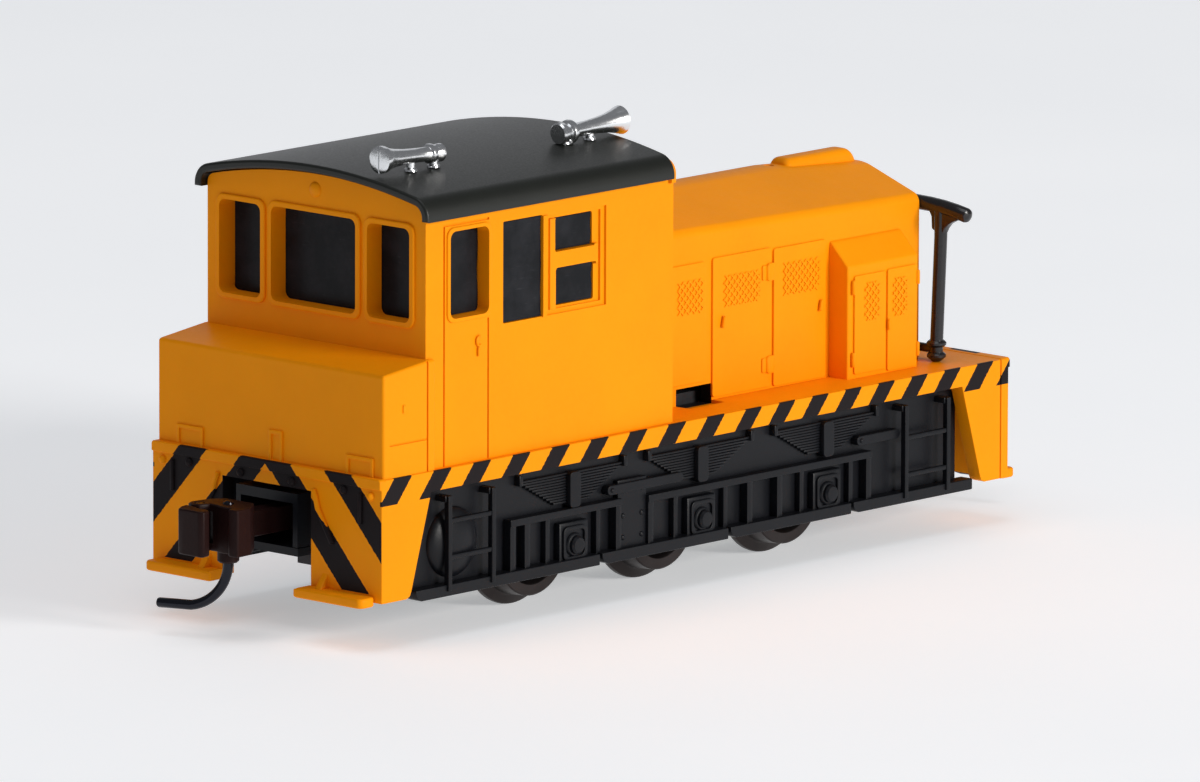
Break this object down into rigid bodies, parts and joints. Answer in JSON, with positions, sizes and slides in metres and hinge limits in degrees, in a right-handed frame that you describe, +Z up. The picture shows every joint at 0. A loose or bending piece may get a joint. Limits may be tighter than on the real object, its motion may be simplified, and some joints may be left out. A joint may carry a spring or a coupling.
{
  "type": "model diesel locomotive",
  "caption": "Small-gauge model of a hood-and-cab diesel switcher with side frames, knuckle couplers, horns and a worm-geared split-chassis drive.",
  "frame": {"origin": "centre of the locomotive's length and width, level with the bottoms of the wheel flanges", "axes": "+X towards the long hood and the handrail, +Y to the left of a driver who faces the hood, +Z up"},
  "size_m": [0.0624, 0.0176, 0.0267],
  "materials": {
    "body_orange": "satin moulded orange with painted stripes",
    "roof_black": "satin black",
    "smoked_glazing": "dark smoked plastic",
    "plated_horn": "silver plating",
    "gloss_black": "gloss black",
    "frame_black": "satin black",
    "chassis_zinc": "blackened zinc casting",
    "wheel_metal": "blackened, with a worn tread",
    "motor_steel": "plated steel",
    "magnet": "sintered ferrite",
    "carbon": "pressed carbon",
    "brass": "turned brass",
    "gear_nylon": "natural nylon",
    "insulator": "moulded insulator",
    "coupler_brown": "dark brown acetal",
    "blued_steel": "blued wire",
    "screw_steel": "plated steel"
  },
  "bodies": {
    "locomotive": {"body_shell": "body_orange", "cab_roof": "roof_black", "glazing_left": "smoked_glazing", "glazing_right": "smoked_glazing", "glazing_rear": "smoked_glazing", "glazing_front": "smoked_glazing", "horn_rear": "plated_horn", "horn_front": "plated_horn", "front_handrail": "gloss_black", "side_frame_left": "frame_black", "side_frame_right": "frame_black", "chassis_left": "chassis_zinc", "chassis_right": "chassis_zinc", "spacer_rear": "insulator", "spacer_front": "insulator", "chassis_screw_rear": "screw_steel", "chassis_screw_front": "screw_steel", "keeper_plate": "frame_black", "motor_can": "motor_steel", "motor_end_cap": "insulator", "magnet_upper": "magnet", "magnet_lower": "magnet", "brush_left": "carbon", "brush_right": "carbon", "motor_contact_left": "brass", "motor_contact_right": "brass", "worm_bearing": "brass", "coupler_box_rear": "frame_black", "coupler_box_lid_rear": "frame_black", "coupler_screw_rear": "screw_steel", "centring_spring_rear": "screw_steel", "coupler_box_front": "frame_black", "coupler_box_lid_front": "frame_black", "coupler_screw_front": "screw_steel", "centring_spring_front": "screw_steel"},
    "drive_shaft": {"motor_armature": "motor_steel", "worm": "brass"},
    "transfer_shaft": {"transfer_gear": "gear_nylon"},
    "rear_idler": {"idler_gear_rear": "gear_nylon"},
    "front_idler": {"idler_gear_front": "gear_nylon"},
    "rear_wheelset": {"axle_gear_rear": "gear_nylon", "wheel_rear_left": "wheel_metal", "wheel_rear_right": "wheel_metal"},
    "middle_wheelset": {"axle_gear_middle": "gear_nylon", "wheel_middle_left": "wheel_metal", "wheel_middle_right": "wheel_metal"},
    "front_wheelset": {"axle_gear_front": "gear_nylon", "wheel_front_left": "wheel_metal", "wheel_front_right": "wheel_metal"},
    "rear_coupler": {"coupler_head_rear": "coupler_brown", "trip_pin_rear": "blued_steel", "knuckle_pin_rear": "blued_steel"},
    "rear_knuckle": {"knuckle_rear": "coupler_brown"},
    "front_coupler": {"coupler_head_front": "coupler_brown", "trip_pin_front": "blued_steel", "knuckle_pin_front": "blued_steel"},
    "front_knuckle": {"knuckle_front": "coupler_brown"}
  },
  "joints": [
    {"name": "motor_spin", "type": "hinge", "parent": "locomotive", "child": "drive_shaft", "pos_m": [-0.00515, 0, 0.01393], "axis": [1, 0, 0], "continuous": true},
    {"name": "transfer_spin", "type": "hinge", "parent": "locomotive", "child": "transfer_shaft", "pos_m": [-0.00515, 0, 0.01038], "axis": [0, 1, 0], "continuous": true},
    {"name": "rear_idler_spin", "type": "hinge", "parent": "locomotive", "child": "rear_idler", "pos_m": [-0.00515, 0, 0.00523], "axis": [0, 1, 0], "continuous": true},
    {"name": "front_idler_spin", "type": "hinge", "parent": "locomotive", "child": "front_idler", "pos_m": [0.00515, 0, 0.00523], "axis": [0, 1, 0], "continuous": true},
    {"name": "rear_axle_spin", "type": "hinge", "parent": "locomotive", "child": "rear_wheelset", "pos_m": [-0.0103, 0, 0.00345], "axis": [0, 1, 0], "continuous": true},
    {"name": "middle_axle_spin", "type": "hinge", "parent": "locomotive", "child": "middle_wheelset", "pos_m": [0, 0, 0.00345], "axis": [0, 1, 0], "continuous": true},
    {"name": "front_axle_spin", "type": "hinge", "parent": "locomotive", "child": "front_wheelset", "pos_m": [0.0103, 0, 0.00345], "axis": [0, 1, 0], "continuous": true},
    {"name": "rear_coupler_swing", "type": "hinge", "parent": "locomotive", "child": "rear_coupler", "pos_m": [-0.02225, 0, 0.00625], "axis": [0, 0, 1], "range_deg": [-18, 18], "stiffness_Nm_per_rad": 0.0001},
    {"name": "rear_knuckle_open", "type": "hinge", "parent": "rear_coupler", "child": "rear_knuckle", "pos_m": [-0.02935, 0.00115, 0.00625], "axis": [0, 0, -1], "range_deg": [0, 30], "stiffness_Nm_per_rad": 0.00002},
    {"name": "front_coupler_swing", "type": "hinge", "parent": "locomotive", "child": "front_coupler", "pos_m": [0.02225, 0, 0.00625], "axis": [0, 0, 1], "range_deg": [-18, 18], "stiffness_Nm_per_rad": 0.0001},
    {"name": "front_knuckle_open", "type": "hinge", "parent": "front_coupler", "child": "front_knuckle", "pos_m": [0.02935, -0.00115, 0.00625], "axis": [0, 0, -1], "range_deg": [0, 30], "stiffness_Nm_per_rad": 0.00002}
  ],
  "couplings": [
    {"joint": "transfer_spin", "follows": "motor_spin", "ratio": -0.071429},
    {"joint": "rear_idler_spin", "follows": "motor_spin", "ratio": 0.05},
    {"joint": "front_idler_spin", "follows": "motor_spin", "ratio": 0.05},
    {"joint": "rear_axle_spin", "follows": "motor_spin", "ratio": -0.0625},
    {"joint": "middle_axle_spin", "follows": "motor_spin", "ratio": -0.0625},
    {"joint": "front_axle_spin", "follows": "motor_spin", "ratio": -0.0625}
  ]
}
